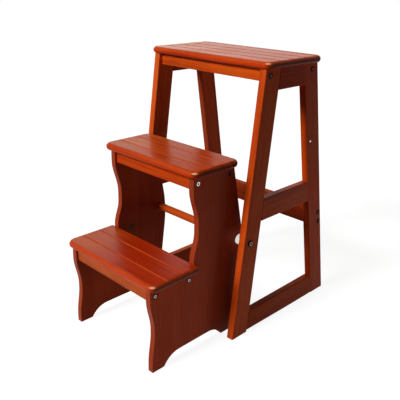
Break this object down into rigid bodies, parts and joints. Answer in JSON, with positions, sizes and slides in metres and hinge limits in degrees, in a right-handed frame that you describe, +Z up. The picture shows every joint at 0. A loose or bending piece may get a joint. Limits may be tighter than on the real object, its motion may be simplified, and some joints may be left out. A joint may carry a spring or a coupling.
{
  "type": "flip-over step stool",
  "caption": "Wooden step ladder: an A-frame with a slatted seat as top step, and a two-tread step unit that flips on a cross pivot into the frame.",
  "frame": {"origin": "on the floor, in the middle of the stool's outline with the step unit down", "axes": "+X to the right of someone climbing, -Y toward the climber, +Z up; the X = 0 plane is the plane of symmetry"},
  "size_m": [0.384, 0.6008, 0.65],
  "materials": {
    "lacquered_wood": "high-gloss red cherry lacquer over visible grain",
    "beech_dowel": "raw beech, fluted and glued in",
    "bolt_steel": "burnished dark steel with a polished rim",
    "nut_brass": "plain turned brass",
    "white_nylon": "satin white nylon",
    "dark_fibre": "matt dark vulcanised fibre"
  },
  "bodies": {
    "stool_frame": {"seat": "lacquered_wood", "seat_front_apron": "lacquered_wood", "seat_rear_apron": "lacquered_wood", "rear_stretcher": "lacquered_wood", "left_front_leg": "lacquered_wood", "right_front_leg": "lacquered_wood", "left_rear_leg": "lacquered_wood", "right_rear_leg": "lacquered_wood", "left_top_rail": "lacquered_wood", "right_top_rail": "lacquered_wood", "left_middle_rail": "lacquered_wood", "right_middle_rail": "lacquered_wood", "left_bottom_rail": "lacquered_wood", "right_bottom_rail": "lacquered_wood", "left_dowel_pins": "beech_dowel", "right_dowel_pins": "beech_dowel", "seat_screws": "bolt_steel", "seat_apron_bolts": "bolt_steel", "seat_apron_nuts": "nut_brass", "stretcher_bolts": "bolt_steel", "stretcher_nuts": "nut_brass", "rear_leg_studs": "bolt_steel"},
    "step_unit": {"left_side_panel": "lacquered_wood", "right_side_panel": "lacquered_wood", "middle_tread": "lacquered_wood", "lower_tread": "lacquered_wood", "middle_front_apron": "lacquered_wood", "middle_rear_apron": "lacquered_wood", "lower_front_apron": "lacquered_wood", "lower_rear_apron": "lacquered_wood", "middle_tread_screws": "bolt_steel", "lower_tread_screws": "bolt_steel", "middle_apron_bolts": "bolt_steel", "middle_apron_nuts": "nut_brass", "lower_apron_bolts": "bolt_steel", "lower_apron_nuts": "nut_brass", "cross_rod": "lacquered_wood", "rod_inserts": "nut_brass", "left_pivot_bolt": "bolt_steel", "right_pivot_bolt": "bolt_steel", "left_pivot_spacer": "white_nylon", "right_pivot_spacer": "white_nylon", "left_pivot_washer": "dark_fibre", "right_pivot_washer": "dark_fibre"}
  },
  "joints": [
    {"name": "step_unit_flip", "type": "hinge", "parent": "stool_frame", "child": "step_unit", "pos_m": [0, -0.0234, 0.236], "axis": [-1, 0, 0], "range_deg": [0, 180]}
  ]
}
